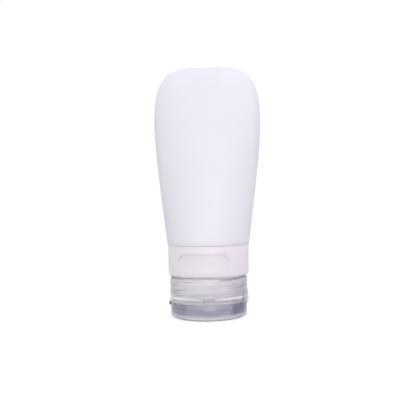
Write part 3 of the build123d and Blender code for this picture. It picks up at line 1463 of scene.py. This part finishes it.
@dataclass
class FlipLid:
    """Clear lid: standing face, skirt, locating lip, sealing plug, thumb tab and knuckle."""

    levels: Levels
    face: float = 1.5
    face_rounding: float = 1.8
    inside_rounding: float = 0.8
    wall: float = 1.3
    wall_inside: float = Levels.lid_radius - wall
    lip_clearance: float = 0.35
    lip_outside: float = Levels.skirt_inside - lip_clearance
    lip_wall: float = 0.9
    lip_inside: float = lip_outside - lip_wall
    lip_height: float = 1.1
    lip_root: float = 2.4
    lip_side_clearance: float = 1.3
    lip_cutback: float = Levels.ear_end + lip_side_clearance
    plug_radius: float = 2.1
    plug_entry: float = 1.2
    plug_top: float = Levels.spout_tip + plug_entry
    plug_chamfer: float = 0.4
    plug_fillet: float = 0.5
    tab_root: float = 0.65
    tab_reach: float = 1.0
    tab_height: float = 2.0
    tab_half: float = 4.47
    tab_rounding: float = 0.35
    tab_start: float = -10.0
    tab_levels: Corner = (4.0, 12.0)
    knuckle_clearance: float = 0.25
    ear_gap: float = 0.2
    pin_fit: float = 0.06
    pin_bore: float = Levels.pin_radius + pin_fit
    small_edge: float = 0.14
    sharp_degrees: float = 35.0
    # Painted shade: the whole lid is tinted darker than the cap of the same plastic, its band darker still
    # and its hinge and tab sides darkest, for the darkness seen through it.
    finish: ClearFinish = ClearFinish(
        "lid_painted_shade",
        pale=(0.87, 0.86, 0.92),
        deep=(0.85, 0.84, 0.90),
        thick=(0.665, 0.66, 0.775),
        hinge=(0.34, 0.33, 0.42),
        shade_and_satin_low=(2.2, 3.2),
        shade_and_satin_high=(8.5, 8.2),
        roughness=0.09,
        gate=1.1,
    )

    def tab(self) -> bpy.types.Object:
        """The thumb tab opposite the hinge.

        Returns:
            The tab, with its corners rounded.
        """
        at = self.levels
        outer = at.lid_radius + self.tab_reach
        high = at.lid_height
        low = high - self.tab_height
        ring = flat_ring("thumb_tab", at.lid_radius - self.tab_root, outer, low, high)
        soften(ring, [(outer, low), (outer, high)], self.tab_rounding, segments=4)
        floor, roof = self.tab_levels
        keep = box("tab_keep", (-FAR, -self.tab_half, floor), (self.tab_start, self.tab_half, roof))
        carve(ring, keep, Cut.KEEP_SHARED)
        return ring

    def hollows(self) -> bpy.types.Object:
        """Room for the cap's ears, and the lip's gap beside the hinge.

        Returns:
            One solid to remove from the lid.
        """
        at = self.levels
        top = at.lid_height + self.lip_height + OVERRUN
        half = self.lip_cutback
        gap = box("lip_gap", (at.lid_radius / 2, -half, at.lid_height), (FAR, half, top))
        radius = at.knuckle_radius + self.knuckle_clearance
        for side in (-1, 1):
            near, far = sorted((side * at.knuckle_half, side * (at.ear_end + self.ear_gap)))
            carve(gap, barrel("ear_room", radius, at.hinge_axis, near, far), Cut.JOIN)
        return gap

    def build(self) -> None:
        """Models the turned lid, then its pockets, tab, knuckle and pin bore."""
        at = self.levels
        lip_top = at.lid_height + self.lip_height
        root = at.lid_height - self.lip_root
        profile = [
            (at.lid_radius, 0),
            (at.lid_radius, at.lid_height),
            (self.lip_outside, at.lid_height),
            (self.lip_outside, lip_top),
            (self.lip_inside, lip_top),
            (self.lip_inside, root),
            (self.wall_inside, root - (self.wall_inside - self.lip_inside)),
            (self.wall_inside, self.face),
            (self.plug_radius, self.face),
            (self.plug_radius, self.plug_top - self.plug_chamfer),
            (self.plug_radius - self.plug_chamfer, self.plug_top),
        ]
        rings = [*rounds(profile), Ring(self.plug_top, 0, 0)]
        piece = stack_rings("lid_shell", rings)
        soften(piece, [(at.lid_radius, 0)], self.face_rounding, segments=8)
        soften(piece, [(self.wall_inside, self.face)], self.inside_rounding, segments=5)
        soften(piece, [(self.plug_radius, self.face)], self.plug_fillet, segments=4)
        small = [(at.lid_radius, at.lid_height), (self.lip_outside, lip_top), (self.lip_inside, lip_top)]
        soften(piece, small, self.small_edge, segments=2)
        carve(piece, self.hollows(), Cut.REMOVE)
        half = at.knuckle_half
        carve(piece, barrel("knuckle", at.knuckle_radius, at.hinge_axis, -half, half), Cut.JOIN)
        carve(piece, self.tab(), Cut.JOIN)
        bore = barrel("pin_bore", self.pin_bore, at.hinge_axis, -at.ear_end, at.ear_end)
        carve(piece, bore, Cut.REMOVE)
        smooth(piece, self.sharp_degrees)
        hand_over(piece, Body.LID, "flip_lid", self.finish)


# Studio


def ray_is(paint: Paint, kind: str) -> Wire:
    """1 for rays of a kind, such as Camera, and 0 for others."""
    return paint.wire("ShaderNodeLightPath", f"Is {kind} Ray")


def seen_directly(paint: Paint) -> Wire:
    """1 for camera, glossy and transmission rays, and 0 for the light that the object gets."""
    return ray_is(paint, "Camera").larger(ray_is(paint, "Glossy")).larger(ray_is(paint, "Transmission"))


@dataclass(frozen=True)
class Lamp:
    """A square lamp: place and side in metres, power in watts."""

    name: str
    place: Spot
    side: float
    power: float
    colour: Colour

    def build(self, target: Spot) -> None:
        """Sets the lamp up, looking at a target in metres."""
        light = bpy.data.lights.new(self.name, "AREA")
        light.shape = "SQUARE"
        light.size = self.side
        light.energy = self.power
        light.color = self.colour
        lamp = bpy.data.objects.new(self.name, light)
        lamp.location = self.place
        look = Vector(target) - Vector(self.place)
        lamp.rotation_euler = look.to_track_quat("-Z", "Y").to_euler()
        bpy.context.scene.collection.objects.link(lamp)


@dataclass
class Studio:
    """Floor, surroundings, lamps and camera.

    The camera's distance and level are in millimetres, its turns in degrees and what it was
    fitted by in pixels of the picture. Floor and lamps are in metres.
    """

    picture: float = 416.0
    focal_pixels: float = 620.0
    horizon_pixels: float = 5.0
    sensor: float = 36.0
    distance: float = 341.6
    eye_level: float = 61.5
    azimuth: float = 8.5
    aim: float = 5.5
    roll: float = 0.62
    nearest: float = 0.01
    farthest: float = 20.0
    fill: float = 1.2
    zenith_drop: float = 0.58
    backlight: float = 1.45
    fill_colour: Colour = (0.985, 0.98, 1.0)
    floor_colour: Colour = (0.44, 0.44, 0.44)
    floor_glow: float = 0.7
    floor_side: float = 6.0
    floor_level: float = -0.0002
    target: Spot = (0, 0, 0.07)
    lamps: tuple[Lamp, ...] = (
        Lamp("key", (0.28, -1.43, 0.24), 0.9, 8.6, (1.0, 0.985, 0.99)),
        Lamp("rim", (1.2, 0.1, 0.3), 0.5, 0.6, (1.0, 0.5, 0.75)),
    )

    def build_camera(self) -> None:
        """Places the camera so that the bottle stands left of its line of sight."""
        swing = math.radians(self.azimuth - self.aim)
        reach = self.distance / math.cos(swing) * MM
        around = math.radians(self.azimuth)
        place = Vector((reach * math.sin(around), -reach * math.cos(around), self.eye_level * MM))
        lens = bpy.data.cameras.new("camera")
        lens.sensor_width = self.sensor
        lens.lens = self.focal_pixels / self.picture * self.sensor
        lens.clip_start = self.nearest
        lens.clip_end = self.farthest
        lens.shift_x = -math.tan(swing) * self.focal_pixels / self.picture
        lens.shift_y = -self.horizon_pixels / self.picture
        camera = bpy.data.objects.new("camera", lens)
        bpy.context.scene.collection.objects.link(camera)
        turn = Matrix.Rotation(math.radians(self.aim), 4, "Z")
        level = Matrix.Rotation(math.pi / 2, 4, "X")
        lean = Matrix.Rotation(math.radians(-self.roll), 4, "Z")
        camera.matrix_world = Matrix.Translation(place) @ turn @ level @ lean
        bpy.context.scene.camera = camera

    def build_world(self) -> None:
        """White surroundings, brighter through clear plastic, and a softer fill to light with."""
        world = bpy.data.worlds.new("studio")
        bpy.context.scene.world = world
        paint = Paint(world)
        height = paint.axes(paint.wire("ShaderNodeTexCoord", "Generated"))[2].clamped()
        strength = self.fill - height * self.zenith_drop
        glare = ray_is(paint, "Transmission") * (self.backlight - 1) + 1
        fill = paint.shader("ShaderNodeBackground", {0: opaque(self.fill_colour), 1: strength})
        white = paint.shader("ShaderNodeBackground", {0: (1, 1, 1, 1), 1: glare})
        sockets = {0: seen_directly(paint), 1: fill, 2: white}
        paint.surface(paint.shader("ShaderNodeMixShader", sockets))

    def build_floor(self) -> None:
        """A plain pale floor that keeps the object's shadow."""
        deselect()
        bpy.ops.mesh.primitive_plane_add(size=self.floor_side, location=(0, 0, self.floor_level))
        floor = fix_place("floor")
        paint = Paint(bpy.data.materials.new("floor_pale"))
        matt = paint.shader("ShaderNodeBsdfDiffuse", {0: opaque(self.floor_colour)})
        glow = paint.shader("ShaderNodeEmission", {1: seen_directly(paint) * self.floor_glow})
        floor.data.materials.append(paint.surface(paint.shader("ShaderNodeAddShader", {0: matt, 1: glow})))

    def build(self) -> None:
        """Sets up everything around the bottle."""
        self.build_camera()
        self.build_world()
        self.build_floor()
        for lamp in self.lamps:
            lamp.build(self.target)
        bpy.context.scene.view_settings.view_transform = "Standard"
        LOG.info("studio is set up")


def main() -> None:
    """Builds the studio and every sub-assembly in order."""
    logging.basicConfig(level=logging.INFO, format="%(name)s: %(message)s")
    levels = Levels()
    Studio().build()
    for assembly in (
        SqueezeBody(levels),
        Collar(levels),
        LabelRing(levels),
        CapSeal(levels),
        ScrewCap(levels),
        HingePin(levels),
        DripValve(levels),
        ValveRetainer(levels),
        FlipLid(levels),
    ):
        assembly.build()


if __name__ == "__main__":
    main()
